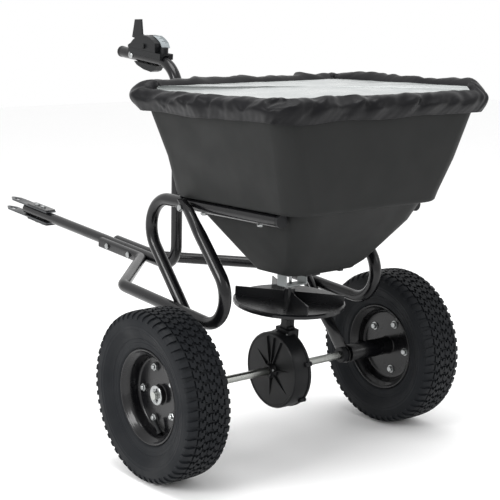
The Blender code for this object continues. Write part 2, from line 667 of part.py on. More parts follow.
def drill_hitch(drawbar, straps):
    """Bolt holes through the drawbar's end and the straps, whose curves become meshes."""
    bpy.context.view_layer.update()
    graph = bpy.context.evaluated_depsgraph_get()
    meshes = []
    for curve in straps:
        name = curve.name
        data = bpy.data.meshes.new_from_object(curve.evaluated_get(graph))
        build = bmesh.new()
        build.from_mesh(data)
        bmesh.ops.remove_doubles(build, verts=build.verts, dist=0.00002)
        build.to_mesh(data)
        build.free()
        where, turn = curve.location.copy(), curve.rotation_euler.copy()
        bpy.data.objects.remove(curve, do_unlink=True)
        data.name = name
        strap = place(name, data, None, DRAWBAR, where, turn)
        meshes.append(strap)
        if name.startswith("hitch_strap"):
            for side in (-1, 1):
                near = side * (STRAP_THICK / 2 - STRAP_RELIEF)
                relief = block("%s_relief_%d" % (name, side), (-DRAWBAR_LENGTH - 0.004, -0.02, 0.0),
                               (-0.43, 0.02, STRAP_THICK), None, DRAWBAR)
                relief.location.z = where.z + near + side * STRAP_THICK / 2
                boolean(strap, relief)
    for order, x in zip(("front", "rear"), HITCH_BOLTS):
        hole(meshes + [drawbar], "hitch_bolt_hole_" + order, 0.0036, 0.08, DRAWBAR, (x, 0, 0),
             "Z", 8)


def rounded_ring(z, front, rear, half, radius, inset=0.0, steps=4):
    """A rounded rectangle at height z, drawn in by inset."""
    radius = max(radius - inset, 0.004)
    front, rear, half = front + inset, rear - inset, half - inset
    ring = []
    for x, y, start in ((rear, half, 0), (front, half, 90), (front, -half, 180), (rear, -half, 270)):
        centre = (x - math.copysign(radius, x - (front + rear) / 2), y - math.copysign(radius, y))
        ring += [(u, v, z) for u, v in arc(centre, radius, start, start + 90, steps)]
    return ring


def make_hopper():
    """The moulded hopper, with its outlet port, shaft hole and bolt pockets."""
    outside = [rounded_ring(*section) for section in HOPPER_SECTIONS]
    inside = []
    for index, section in enumerate(HOPPER_SECTIONS):
        if index == len(HOPPER_SECTIONS) - 2:
            continue
        z, front, rear, half, radius = section
        inset = HOPPER_WALL
        if index == 0:
            z += HOPPER_WALL
            inset = HOPPER_WALL * 1.6
        if index == len(HOPPER_SECTIONS) - 1:
            inset = HOPPER_WALL * 3
        if index in (3, 4):
            z += HOPPER_WALL
        inside.append(rounded_ring(z, front, rear, half, radius, inset))
    rings = outside + inside[::-1]
    hopper = place("hopper", as_mesh("hopper", loft(rings)), HOPPER_PLASTIC, AXLE)
    smooth(hopper.data, 38.0)
    port = block("port", (PORT_X[0], SHAFT_Y - PORT_HALF_Y, FLOOR_Z - 0.02),
                 (PORT_X[1], SHAFT_Y + PORT_HALF_Y, FLOOR_Z + 0.02), None, AXLE)
    boolean(hopper, port)
    hole([hopper], "floor_shaft_hole", 0.0055, 0.030, SHAFT,
         (0, 0, (FLOOR_Z - WHEEL_RADIUS) / math.cos(SHAFT_LEAN)), "Z", 16)
    for side in (-1, 1):
        for x in HOPPER_BOLTS_X:
            hole([hopper], "shelf_hole_%d_%.3f" % (side, x), 0.0036, 0.020, AXLE,
                 (x, side * SUPPORT_Y, 0.5215), "Z", 8)
            pocket = cylinder("shelf_pocket_%d_%.3f" % (side, x), 0.0090, 0.020, None, AXLE,
                              (x, side * SUPPORT_Y, 0.5366), "Z", 12)
            boolean(hopper, pocket)


def make_outlet():
    """Under the floor: the shutter, the frame that guides it, and the shaft's hanger."""
    top = FLOOR_Z - GAP
    low = top - 0.0045
    near, far = PORT_HALF_Y + 0.007, PORT_HALF_Y + 0.018
    frame = block("outlet_frame", (0.006, SHAFT_Y - far, low), (0.038, SHAFT_Y + far, top),
                  BLACK_PLASTIC, AXLE)
    pieces = [((0.007, SHAFT_Y - far + 0.0005, low + 0.0005), (0.120, SHAFT_Y - near, top - 0.0004)),
              ((0.007, SHAFT_Y + near, low + 0.0005), (0.120, SHAFT_Y + far - 0.0005, top - 0.0004)),
              ((0.008, SHAFT_Y - 0.0275, 0.3405), (0.036, SHAFT_Y - 0.0250, low + 0.002)),
              ((0.008, SHAFT_Y + 0.0250, 0.3405), (0.036, SHAFT_Y + 0.0275, low + 0.002)),
              ((0.0085, SHAFT_Y - 0.0270, 0.3400), (0.0355, SHAFT_Y + 0.0270, 0.3425))]
    for index, (start, end) in enumerate(pieces):
        boolean(frame, block("outlet_piece_%d" % index, start, end, None, AXLE), "UNION")
    hole([frame], "hanger_hole", SHAFT_RADIUS + 0.0008, 0.060, SHAFT, (0, 0, 0.205), "Z", 16)
    half = PORT_HALF_Y + 0.0065
    shutter = block("shutter", (0.042, SHAFT_Y - half, top - SHUTTER_THICK),
                    (0.1165, SHAFT_Y + half, top), BLACK_PLASTIC, AXLE)
    tab = block("shutter_tab", (0.092, SHAFT_Y - 0.010, FLOOR_Z - 0.012),
                (0.0945, SHAFT_Y + 0.010, top - 0.001), None, AXLE)
    boolean(shutter, tab, "UNION")


def make_cover():
    """The rain cover: a plain shell over the hopper's rim, open underneath."""
    z, front, rear, half, radius = HOPPER_SECTIONS[-1]
    gap = COVER_CLEARANCE
    bulge = REAR_REACH - rear
    outside, inside = [], []
    for height, out in ((0.690, 0.0035), (0.700, 0.0050), (0.716, bulge), (0.731, 0.0036),
                        (0.738, -0.020), (0.742, -0.080)):
        outside.append(rounded_ring(height, front, rear, half, radius, -out))
    for height, out in ((0.690, gap), (0.7262, gap + 0.0005), (0.7285, -0.005),
                        (0.7340, -0.022), (0.7385, -0.080)):
        inside.append(rounded_ring(height, front, rear, half, radius, -out))
    rings = inside[::-1] + outside
    place("hopper_cover", as_mesh("hopper_cover", loft(rings)), COVER_CLOTH, AXLE)


def make_controls(post):
    """Flow quadrant on the post: saddle, cheeks, lever, scale, rate stop and cable bracket."""
    base = TUBE_RADIUS + GAP
    low = base + 0.004
    dome = [(-0.176, low), (-0.176, 0.022)] + arc((-0.111, -0.026), 0.0765, 136, 56, 8)
    dome += [(-0.0665, low)]
    thick = CHEEK[1] - CHEEK[0]
    for side, label in ((-1, "left"), (1, "right")):
        eye = [(LEVER_PIVOT.x + x, LEVER_PIVOT.z + z) for x, z in arc((0, 0), 0.0034, 0, 324, 9)]
        middle = side * (CHEEK[0] + CHEEK[1]) / 2
        plate("quadrant_" + label, [dome, eye], thick, BLACK_PLASTIC, POST_TOP, (0, middle, 0))
    saddle = block("quadrant_base", (-0.174, -CHEEK[1], 0.004), (-0.046, CHEEK[1], low - GAP),
                   BLACK_PLASTIC, POST_TOP)
    knob = cylinder("quadrant_knob", 0.0090, 0.016, None, POST_TOP, (-0.0555, 0, 0.0220), "Z", 16)
    channel = cylinder("post_channel", base, 0.30, None, POST_TOP, (-0.11, 0, 0), "X", 20)
    boolean(saddle, channel)
    boolean(saddle, knob, "UNION")
    hole([saddle], "bolt_notch", 0.0076, 0.06, POST_TOP, (QUADRANT_BOLT_X, 0, 0), "Y")
    lever_edge = [(-0.006, 0.0105), (-0.0335, 0.0230), (-0.0400, 0.0550), (-0.0655, 0.0520),
                  (-0.0735, 0.0118), (-0.040, 0.0075), (-0.0090, -0.0015)]
    lever_edge += arc((0, 0), 0.0090, 200, 400, 8)
    eye = arc((0, 0), 0.0034, 0, 324, 9)
    plate("flow_lever", [lever_edge, eye], LEVER_THICK, BLACK_PLASTIC, LEVER)
    bolt("lever_pivot", LEVER, (0, -CHEEK[1] - GAP, 0), (0, CHEEK[1] + GAP, 0), BLACK_PLASTIC,
         head_radius=0.0058)

    scale = [(x, z) for x, z in arc((-0.111, -0.026), 0.0740, 78, 55, 5)]
    scale += [(x, z) for x, z in arc((-0.111, -0.026), 0.0600, 55, 78, 5)]
    plate("rate_scale", [scale], 0.0012, SCALE_GREY, POST_TOP, (0, CHEEK[1] + GAP + 0.0006, 0))
    block("rate_stop", (-0.1030, CHEEK[1] + 0.0020, 0.006), (-0.0890, CHEEK[1] + 0.0110, 0.0270),
          BLACK_PLASTIC, POST_TOP)

    bracket = [(-0.160, -base), (-0.148, -0.020), (-0.120, -0.0265), (-0.090, -0.0285),
               (-0.078, -0.024), (-0.068, -base)]
    plate("cable_bracket", [bracket], 0.020, BLACK_PLASTIC, POST_TOP, (0, 0, 0))
    cylinder("post_cap", TUBE_RADIUS + 0.0004, 0.006, BLACK_PLASTIC, POST_TOP,
             (-POST_FORWARD / math.cos(POST_RISE) - 0.0035, 0, 0), "X", 20)
    bolt("quadrant_bolt", POST_TOP, (QUADRANT_BOLT_X, -TUBE_RADIUS, 0),
         (QUADRANT_BOLT_X, TUBE_RADIUS, 0), head_radius=0.0068)
    hole([post], "quadrant_bolt_hole", 0.0036, 0.04, POST_TOP, (QUADRANT_BOLT_X, 0, 0), "Y", 8)


for wheel_side, wheel_label in ((-1, "left"), (1, "right")):
    make_wheel(wheel_side, wheel_label)
make_axle()
make_gearbox()
make_impeller()
DRAWBAR_TUBE, POST_TUBE = make_frame()
drill_hitch(DRAWBAR_TUBE, make_hitch())
make_hopper()
make_outlet()
make_cover()
make_controls(POST_TUBE)
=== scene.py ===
import math

import bmesh
import bpy
from mathutils import Matrix, Vector, noise


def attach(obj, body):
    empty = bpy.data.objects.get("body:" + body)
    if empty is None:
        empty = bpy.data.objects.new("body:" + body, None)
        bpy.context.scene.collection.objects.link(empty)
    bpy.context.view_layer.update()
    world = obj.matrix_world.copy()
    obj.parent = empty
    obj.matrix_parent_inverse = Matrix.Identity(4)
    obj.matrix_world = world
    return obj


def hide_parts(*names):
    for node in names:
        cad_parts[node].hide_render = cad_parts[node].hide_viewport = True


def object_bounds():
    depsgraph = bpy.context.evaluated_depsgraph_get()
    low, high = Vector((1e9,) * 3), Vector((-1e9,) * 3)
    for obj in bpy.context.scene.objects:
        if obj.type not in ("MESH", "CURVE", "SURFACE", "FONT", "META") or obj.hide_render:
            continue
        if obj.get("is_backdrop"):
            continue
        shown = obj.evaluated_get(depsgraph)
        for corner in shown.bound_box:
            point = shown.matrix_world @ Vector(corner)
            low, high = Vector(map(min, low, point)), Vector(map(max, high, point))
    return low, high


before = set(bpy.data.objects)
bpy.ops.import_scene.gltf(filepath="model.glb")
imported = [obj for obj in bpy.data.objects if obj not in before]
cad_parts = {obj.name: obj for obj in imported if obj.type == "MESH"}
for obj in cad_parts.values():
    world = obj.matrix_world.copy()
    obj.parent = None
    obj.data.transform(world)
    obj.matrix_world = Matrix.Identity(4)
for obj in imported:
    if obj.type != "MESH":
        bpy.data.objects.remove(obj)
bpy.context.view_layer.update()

# The room: a plain pale floor, and soft light from large panels above and on both sides.
# The camera stands behind and to the left, level with the top of the hopper.
# Its long lens keeps the far wheel nearly as large as the near one.
scene = bpy.context.scene
scene.view_settings.view_transform = "Standard"
lens = bpy.data.cameras.new("camera")
lens.lens = 90.1
lens.sensor_width = 36.0
camera = bpy.data.objects.new("camera", lens)
camera.location = (2.3297, -1.5712, 0.8614)
camera.rotation_euler = (Vector((0.3275, 0.0, 0.392)) - camera.location).to_track_quat("-Z", "Y").to_euler()
scene.collection.objects.link(camera)
scene.camera = camera

floor_mesh = bpy.data.meshes.new("floor")
floor_mesh.from_pydata([(-9, -9, -0.0006), (9, -9, -0.0006), (9, 9, -0.0006), (-9, 9, -0.0006)],
                       [], [(0, 1, 2, 3)])
floor = bpy.data.objects.new("floor", floor_mesh)
scene.collection.objects.link(floor)
floor_paint = bpy.data.materials.new("floor_paint")
floor_paint.use_nodes = True
floor_paint.node_tree.nodes["Principled BSDF"].inputs["Base Color"].default_value = (0.96, 0.96, 0.96, 1)
floor_paint.node_tree.nodes["Principled BSDF"].inputs["Roughness"].default_value = 0.9
floor_mesh.materials.append(floor_paint)
floor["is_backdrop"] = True

room = bpy.data.worlds.new("room")
room.use_nodes = True
room.node_tree.nodes["Background"].inputs["Color"].default_value = (1.0, 1.0, 1.0, 1)
room.node_tree.nodes["Background"].inputs["Strength"].default_value = 1.0
scene.world = room


def light_panel(name, place, aim, width, power):
    lamp = bpy.data.lights.new(name, "AREA")
    lamp.size = width
    lamp.energy = power
    panel = bpy.data.objects.new(name, lamp)
    panel.location = place
    panel.rotation_euler = (Vector(aim) - Vector(place)).to_track_quat("-Z", "Y").to_euler()
    scene.collection.objects.link(panel)


light_panel("overhead_panel", (0.5, -0.3, 3.0), (0.3, 0.0, 0.3), 1.6, 50)
light_panel("left_panel", (0.6, -3.0, 1.9), (0.3, 0.0, 0.4), 1.2, 60)
light_panel("rear_panel", (3.2, 1.2, 1.9), (0.4, 0.0, 0.4), 1.0, 8)

# The frame: round steel tube, bent cold, its ends pressed flat and drilled for the bolts.
# It is powder-coated gloss black. Two loops on each side meet under the hopper's shelf.
AXLE = Vector((0.437, 0.0, 0.165))
TUBE = 0.0125
TUBE_SIDES, ARC_STEP = 28, math.radians(6)


def finish(name, colour, roughness, metallic=0.0):
    """A new material and its shader."""
    look = bpy.data.materials.new(name)
    look.use_nodes = True
    shader = look.node_tree.nodes["Principled BSDF"]
    shader.inputs["Base Color"].default_value = (*colour, 1)
    shader.inputs["Roughness"].default_value = roughness
    shader.inputs["Metallic"].default_value = metallic
    return look, shader


def grain(look, shader, size, depth, rough=None, patch=None, stretch=(1, 1, 1)):
    """Relief of that grain size and depth, with roughness and colour that drift in patches."""
    nodes, links = look.node_tree.nodes, look.node_tree.links
    where = nodes.new("ShaderNodeTexCoord")
    turn = nodes.new("ShaderNodeMapping")
    turn.inputs["Scale"].default_value = stretch
    links.new(where.outputs["Object"], turn.inputs["Vector"])
    fine = nodes.new("ShaderNodeTexNoise")
    fine.inputs["Scale"].default_value = 1.0 / size
    fine.inputs["Detail"].default_value = 3.0
    links.new(turn.outputs["Vector"], fine.inputs["Vector"])
    relief = nodes.new("ShaderNodeBump")
    relief.inputs["Distance"].default_value = depth
    relief.inputs["Strength"].default_value = 0.6
    links.new(fine.outputs["Fac"], relief.inputs["Height"])
    links.new(relief.outputs["Normal"], shader.inputs["Normal"])
    cloudy = nodes.new("ShaderNodeTexNoise")
    cloudy.inputs["Scale"].default_value = 14.0
    cloudy.inputs["Detail"].default_value = 5.0
    links.new(where.outputs["Object"], cloudy.inputs["Vector"])
    if rough:
        span = nodes.new("ShaderNodeMapRange")
        span.inputs["From Min"].default_value = 0.35
        span.inputs["From Max"].default_value = 0.65
        span.inputs["To Min"].default_value, span.inputs["To Max"].default_value = rough
        links.new(cloudy.outputs["Fac"], span.inputs["Value"])
        links.new(span.outputs["Result"], shader.inputs["Roughness"])
    if patch:
        mix = nodes.new("ShaderNodeMix")
        mix.data_type = "RGBA"
        mix.inputs["A"].default_value = shader.inputs["Base Color"].default_value
        mix.inputs["B"].default_value = (*patch, 1)
        links.new(cloudy.outputs["Fac"], mix.inputs["Factor"])
        links.new(mix.outputs["Result"], shader.inputs["Base Color"])


def skin(build, rings, joined=False):
    """Skins equal rings of points; open ends are capped."""
    loops = [[build.verts.new(point) for point in ring] for ring in rings]
    count = len(loops[0])
    pairs = list(zip(loops, loops[1:] + ([loops[0]] if joined else [])))
    for low, high in pairs:
        for index in range(count):
            after = (index + 1) % count
            build.faces.new((low[index], low[after], high[after], high[index]))
    if not joined:
        build.faces.new(loops[0][::-1])
        build.faces.new(loops[-1])


def piece(name, build, look, body, crease=35.0):
    """The finished mesh as a named piece that rides on a body."""
    bmesh.ops.recalc_face_normals(build, faces=build.faces)
    mesh = bpy.data.meshes.new(name)
    build.to_mesh(mesh)
    build.free()
    mesh.materials.append(look)
    mesh.shade_smooth()
    mesh.set_sharp_from_angle(angle=math.radians(crease))
    made = bpy.data.objects.new(name, mesh)
    scene.collection.objects.link(made)
    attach(made, body)
    return made


def dress(look, *nodes):
    """Puts a finish on pieces that keep the shape they were made with."""
    for node in nodes:
        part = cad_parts[node]
        part.data.materials.clear()
        part.data.materials.append(look)


def bent(corners):
    """A route of straight runs joined by arcs; corners holds (point, bend radius)."""
    path = []
    for index, (corner, radius) in enumerate(corners):
        corner = Vector(corner)
        if not radius:
            path.append(corner)
            continue
        back = (Vector(corners[index - 1][0]) - corner).normalized()
        ahead = (Vector(corners[index + 1][0]) - corner).normalized()
        half = back.angle(ahead) / 2
        middle = corner + (back + ahead).normalized() * (radius / math.sin(half))
        start = corner + back * (radius / math.tan(half)) - middle
        end = corner + ahead * (radius / math.tan(half)) - middle
        sweep = start.angle(end)
        steps = math.ceil(sweep / ARC_STEP)
        for count in range(steps + 1):
            share = count / steps
            spoke = start * math.sin((1 - share) * sweep) + end * math.sin(share * sweep)
            path.append(middle + spoke / math.sin(sweep))
    return path


def tube(build, path, press=None):
    """A round tube along a path; press moves its points where an end is flattened."""
    across = None
    rings = []
    for index, point in enumerate(path):
        ahead = path[min(index + 1, len(path) - 1)] - path[max(index - 1, 0)]
        ahead.normalize()
        across = ahead.orthogonal() if across is None else across - ahead * across.dot(ahead)
        across.normalize()
        other = ahead.cross(across)
        ring = []
        for turn in range(TUBE_SIDES):
            angle = math.tau * turn / TUBE_SIDES
            spot = point + (across * math.cos(angle) + other * math.sin(angle)) * TUBE
            ring.append(press(spot) if press else spot)
        rings.append(ring)
    skin(build, rings)


black_coat, coat_shader = finish("black_coat", (0.0035, 0.0035, 0.0042), 0.22)
coat_shader.inputs["Specular IOR Level"].default_value = 0.22
coat_shader.inputs["Coat Weight"].default_value = 0.22
coat_shader.inputs["Coat Roughness"].default_value = 0.10
grain(black_coat, coat_shader, 0.0016, 0.00006, rough=(0.20, 0.32))

DRAWBAR_JOINT = Vector((-0.063, 0.0, 0.3215))
RISE = Matrix.Rotation(math.radians(4.4), 3, "Y")
SUPPORT_Y, SUPPORT_Z, SIDE_Y = 0.1685, 0.507, 0.194
LEG_Y, LEG_HALF = 0.0218, 0.009


def beside_drawbar(along, across=0.0):
    return DRAWBAR_JOINT + RISE @ Vector((along, across, 0.0))


for side, hand in ((-1, "left"), (1, "right")):
    run = Vector((-0.863, 0.0, 1.0)).normalized()
    eye = Vector((AXLE.x, side * SUPPORT_Y, AXLE.z))

    def press_support(spot):
        rel = spot - eye
        along = rel.dot(run)
        if along > 0.085 or spot.z > SUPPORT_Z - 0.03:
            return spot
        flat = min(1.0, (0.085 - along) / 0.045)
        wide = Vector((run.z, 0.0, -run.x))
        sideways = rel.dot(wide) * (1 + 0.44 * flat)
        if along < 0:
            sideways *= math.sqrt(max(0.09, 1 - (along / 0.0185) ** 2))
        return eye + run * along + wide * sideways + Vector((0, rel.y * (1 - 0.8 * flat), 0))

    def press_side(spot):
        made = spot.copy()
        if spot.x < 0.007:
            reach = max(side * spot.y, LEG_Y - LEG_HALF)
            made.y = side * (min(reach, LEG_Y + LEG_HALF) if spot.x < -0.063 else reach)
        if spot.z > 0.455:
            flat = min(1.0, (spot.z - 0.455) / 0.030)
            made.y = side * SIDE_Y + (spot.y - side * SIDE_Y) * (1 - 0.30 * flat)
            made.z = min(spot.z, 0.519)
        return made

    low = [(eye + run * along, 0) for along in
           (-0.0180, -0.0172, -0.016, -0.0135, -0.010, -0.005, 0, 0.02, 0.04, 0.05, 0.062, 0.072, 0.085)]
    low += [((AXLE.x - 0.863 * (SUPPORT_Z - AXLE.z), side * SUPPORT_Y, SUPPORT_Z), 0.0625),
            ((AXLE.x + 0.191, side * SUPPORT_Y, SUPPORT_Z), 0)]
    build = bmesh.new()
    tube(build, bent(low), press=press_support)
    support = piece("support_loop_" + hand, build, black_coat, "frame")
    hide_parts("support_tube_" + hand)

    top = Vector((AXLE.x - 0.078, side * SIDE_Y, 0.526))
    rear = Vector((AXLE.x + 0.148, side * SIDE_Y, 0.276))
    low = [(beside_drawbar(-0.160, side * LEG_Y), 0), (beside_drawbar(-0.012, side * LEG_Y), 0),
           (beside_drawbar(0.013, side * LEG_Y), 0.030),
           (Vector((AXLE.x - 0.294, side * SIDE_Y, 0.312)), 0.035), (rear, 0.060)]
    low += [(rear + (top - rear).normalized() * length, 0)
            for length in (0.240, 0.249, 0.258, 0.268, 0.279, 0.290, 0.300)] + [(top, 0)]
    build = bmesh.new()
    tube(build, bent(low), press=press_side)
    loop = piece("side_loop_" + hand, build, black_coat, "frame")
    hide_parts("side_tube_" + hand)

# The drawbar and the upright post: one diameter of tube, end to end between the side legs.
# Two bolts clamp them there; the post bends forward at its top to carry the flow control.
POST_X, POST_TOP_X, POST_TOP_Z = 0.059, 0.075, 0.7645
POST_RISE = Matrix.Rotation(math.radians(6.1), 3, "Y")


def on_post(along, across=0.0, up=0.0):
    """A point beside the post's top run, measured from the bend's corner."""
    return Vector((POST_TOP_X, 0.0, POST_TOP_Z)) + POST_RISE @ Vector((along, across, up))


build = bmesh.new()
tube(build, [beside_drawbar(along) for along in (-0.0803, -0.2, -0.4, -0.576)])
drawbar = piece("drawbar_tube", build, black_coat, "frame")
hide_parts("drawbar")

foot = beside_drawbar(-0.0797)
bend_z = DRAWBAR_JOINT.z - (POST_X - DRAWBAR_JOINT.x) * math.tan(math.radians(4.4))
build = bmesh.new()
tube(build, bent([(foot, 0), ((POST_X, 0, bend_z), 0.050), ((POST_TOP_X, 0, POST_TOP_Z), 0.070),
                  (on_post(-0.2202), 0)]))
post = piece("upright_post", build, black_coat, "frame")
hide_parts("handle_post")

# Caps and bushes: satin black mouldings, pushed on to the tube ends and round the axle.
satin_black, satin_shader = finish("satin_black", (0.0055, 0.006, 0.007), 0.40)
satin_shader.inputs["Specular IOR Level"].default_value = 0.22
grain(satin_black, satin_shader, 0.0011, 0.00008, rough=(0.34, 0.48), patch=(0.009, 0.0095, 0.0105))
dress(satin_black, "tube_cap_left", "tube_cap_right", "post_cap", "axle_bush_left",
      "axle_bush_right")

# Fasteners: hexagon bolts and nuts, bright zinc plated.
# The plating has a soft, slightly cloudy shine, and the odd dull patch.
zinc, zinc_shader = finish("zinc", (0.42, 0.43, 0.43), 0.28, 1.0)
grain(zinc, zinc_shader, 0.0009, 0.00005, rough=(0.20, 0.42), patch=(0.27, 0.28, 0.28))
dress(zinc, "frame_bolt_left", "frame_bolt_right", "hopper_bolt_front_left",
      "hopper_bolt_front_right", "hopper_bolt_rear_left", "hopper_bolt_rear_right",
      "drawbar_bolt_front", "drawbar_bolt_rear", "hitch_bolt_front", "hitch_bolt_rear",
      "drive_pin", "agitator", "impeller_shaft", "cotter_left", "cotter_right")

# The hitch: two slotted straps of zinc-plated flat bar over and under the drawbar's end.
# A black plate on each strap spreads the load of the two bolts that clamp the stack.
strap_zinc, strap_shader = finish("strap_zinc", (0.115, 0.12, 0.125), 0.36, 1.0)
grain(strap_zinc, strap_shader, 0.0016, 0.00010, rough=(0.28, 0.50), patch=(0.055, 0.058, 0.062),
      stretch=(0.12, 1, 1))
dress(strap_zinc, "hitch_strap_upper", "hitch_strap_lower")
dress(black_coat, "hitch_clamp_upper", "hitch_clamp_lower")

# The tyres: 13 inch pneumatic turf tyres. The crown has four rows of stepped blocks that
# interlock, with a lug at each shoulder; the sidewalls are smooth with fine moulded rings.
TRACK = 0.300
TREAD_RADIUS = 0.165
LUGS = 56
CROWN_RADIUS = 0.1612
HALF_CARCASS = ((CROWN_RADIUS, 0.000), (0.1611, 0.014), (0.1606, 0.028), (0.1588, 0.0390),
                (0.1545, 0.0452), (0.1480, 0.0470), (0.1400, 0.0475), (0.1310, 0.0462),
                (0.1235, 0.0425), (0.1175, 0.0385), (0.1110, 0.0355), (0.1040, 0.0341),
                (0.0972, 0.0336), (0.0938, 0.0312), (0.0895, 0.0270))
RINGS = (0.1375, 0.1305, 0.1120, 0.1035)        # radii of the moulded rings


def flowing(points, per_span):
    """A smooth line through 2-D points."""
    line = []
    for index in range(len(points) - 1):
        a, b = points[max(index - 1, 0)], points[index]
        c, d = points[index + 1], points[min(index + 2, len(points) - 1)]
        for count in range(per_span):
            t = count / per_span
            line.append(tuple(0.5 * (2 * q + (r - p) * t + (2 * p - 5 * q + 4 * r - s) * t * t
                                     + (3 * q - p - 3 * r + s) * t ** 3)
                              for p, q, r, s in zip(a, b, c, d)))
    return line + [tuple(points[-1])]


half_line = flowing(HALF_CARCASS, 6)
carcass = [(radius, -across) for radius, across in half_line[:0:-1]] + half_line
lengths = [0.0]
for (r0, y0), (r1, y1) in zip(carcass, carcass[1:]):
    lengths.append(lengths[-1] + math.hypot(r1 - r0, y1 - y0))
lengths = [length - lengths[len(half_line) - 1] for length in lengths]


def on_carcass(across, lift=0.0):
    """Radius and sideways place of a point that far from the crown's middle, raised by lift."""
    spot = max(1, min(len(lengths) - 1, next((i for i, l in enumerate(lengths) if l > across), 999)))
    (r0, y0), (r1, y1) = carcass[spot - 1], carcass[spot]
    share = (across - lengths[spot - 1]) / (lengths[spot] - lengths[spot - 1])
    run = Vector((r1 - r0, y1 - y0)).normalized()
    return r0 + (r1 - r0) * share + run.y * lift, y0 + (y1 - y0) * share - run.x * lift


def round_axle(radius, across, angle):
    return AXLE + Vector((radius * math.cos(angle), across, radius * math.sin(angle)))


def tread_block(build, middle, turn, stations):
    """One block of rubber; stations holds (sideways, low edge, high edge, lift) in metres."""
    rings = []
    for across, low, high, lift in stations:
        ring = []
        for edge, height in ((low, lift), (high, lift), (high + 0.0006, -0.0008), (low - 0.0006, -0.0008)):
            radius, place = on_carcass(across, height)
            ring.append(round_axle(radius, middle + place, turn + edge / TREAD_RADIUS))
        rings.append(ring)
    skin(build, rings)


rubber, rubber_shader = finish("tyre_rubber", (0.0040, 0.0049, 0.0062), 0.60)
rubber_shader.inputs["Specular IOR Level"].default_value = 0.17
grain(rubber, rubber_shader, 0.0022, 0.00022, rough=(0.50, 0.74), patch=(0.0080, 0.0092, 0.0112))

pitch = math.tau * TREAD_RADIUS / LUGS
for side, hand, body in ((-1, "left", "drive_wheel"), (1, "right", "free_wheel")):
    middle = side * TRACK
    section = []
    for place, length in enumerate(lengths):
        radius = carcass[place][0]
        rise = sum(0.0009 * max(0.0, 1 - abs(radius - ring) / 0.0013) for ring in RINGS)
        section.append(on_carcass(length, rise))
    inside = [(radius, place) for radius, place in
              [on_carcass(length, -0.0045) for length in lengths[3:-3:4]]]
    section += inside[::-1]
    build = bmesh.new()
    skin(build, [[round_axle(radius, middle + place, math.tau * k / 112) for radius, place in section]
                 for k in range(112)], joined=True)
    for lug in range(LUGS):
        turn = math.tau * lug / LUGS
        for edge in (-1, 1):
            shift = pitch * (0.0 if edge > 0 else 0.5)
            stations = [(0.0300, -0.27, 0.30, 0.0036), (0.0360, -0.30, 0.26, 0.0036),
                        (0.0420, -0.29, 0.21, 0.0034), (0.0465, -0.26, 0.17, 0.0028),
                        (0.0500, -0.24, 0.14, 0.0016), (0.0512, -0.23, 0.13, 0.0003)]
            tread_block(build, middle, turn, [
                (edge * across, shift + low * pitch, shift + high * pitch, lift)
                for across, low, high, lift in stations[::edge]])
            for row, offset in ((0.0206, 0.25), (0.0072, 0.75)):
                stations = [(-0.0062, -0.18, 0.42), (-0.0026, -0.18, 0.42), (-0.0020, -0.40, 0.20),
                            (0.0020, -0.40, 0.20), (0.0026, -0.26, 0.40), (0.0062, -0.26, 0.40)]
                tread_block(build, middle, turn, [
                    (edge * row + across * edge, (offset + low) * pitch, (offset + high) * pitch, 0.0036)
                    for across, low, high in stations[::edge]])
    tyre = piece("turf_tyre_" + hand, build, rubber, body, crease=28.0)
    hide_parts("tyre_" + hand)

# The rims: two pressed steel dishes per wheel, back to back, bolted through their discs.
# Each has a stepped barrel and a rolled flange that holds the tyre's bead.
OUTER_DISH = ((0.0190, -0.0016), (0.0400, -0.0016), (0.0660, -0.0016), (0.0722, -0.0005),
              (0.0748, 0.0037), (0.0760, 0.0105), (0.0772, 0.0170), (0.0790, 0.0213),
              (0.0825, 0.0247), (0.0862, 0.0277), (0.0886, 0.0303), (0.0902, 0.0313), (0.0912, 0.0301))
INNER_DISH = ((0.0190, -0.0044), (0.0400, -0.0044), (0.0660, -0.0044), (0.0722, -0.0055),
              (0.0748, -0.0090), (0.0760, -0.0135), (0.0772, -0.0180), (0.0790, -0.0215),
              (0.0825, -0.0247), (0.0862, -0.0277), (0.0886, -0.0303), (0.0902, -0.0313), (0.0912, -0.0301))


def sheet_section(line, thick):
    """The closed outline of sheet metal that follows a line."""
    front, back = [], []
    for index, point in enumerate(line):
        before, after = line[max(index - 1, 0)], line[min(index + 1, len(line) - 1)]
        run = Vector((after[0] - before[0], after[1] - before[1])).normalized()
        front.append((point[0] - run.y * thick / 2, point[1] + run.x * thick / 2))
        back.append((point[0] + run.y * thick / 2, point[1] - run.x * thick / 2))
    return front + back[::-1]


def turned(build, section, middle, side, steps=96):
    """A section of (radius, outward) turned about the axle."""
    skin(build, [[round_axle(radius, middle + side * out, math.tau * k / steps)
                  for radius, out in section] for k in range(steps)], joined=True)


for side, hand, body in ((-1, "left", "drive_wheel"), (1, "right", "free_wheel")):
    for name, dish in (("outer", OUTER_DISH), ("inner", INNER_DISH)):
        build = bmesh.new()
        turned(build, sheet_section(flowing(dish, 3), 0.0024), side * TRACK, side)
        rim = piece("rim_dish_%s_%s" % (name, hand), build, black_coat, body, 50.0)
        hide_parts("rim_%s_%s" % (name, hand))

# The hubs: a black steel sleeve welded through each pair of dishes, with a zinc washer
# and a split pin at the axle's end, and five zinc bolts on black washers round it.
BOLT_CIRCLE = 0.053


def round_bar(build, base, along, stations, sides=20, spin=0.0):
    """A turned or hexagonal solid: stations holds (distance along, radius)."""
    base, along = Vector(base), Vector(along).normalized()
    across = along.orthogonal().normalized()
    other = along.cross(across)
    skin(build, [[base + along * far + (across * math.cos(spin + math.tau * k / sides)
                                        + other * math.sin(spin + math.tau * k / sides)) * radius
                  for k in range(sides)] for far, radius in stations])


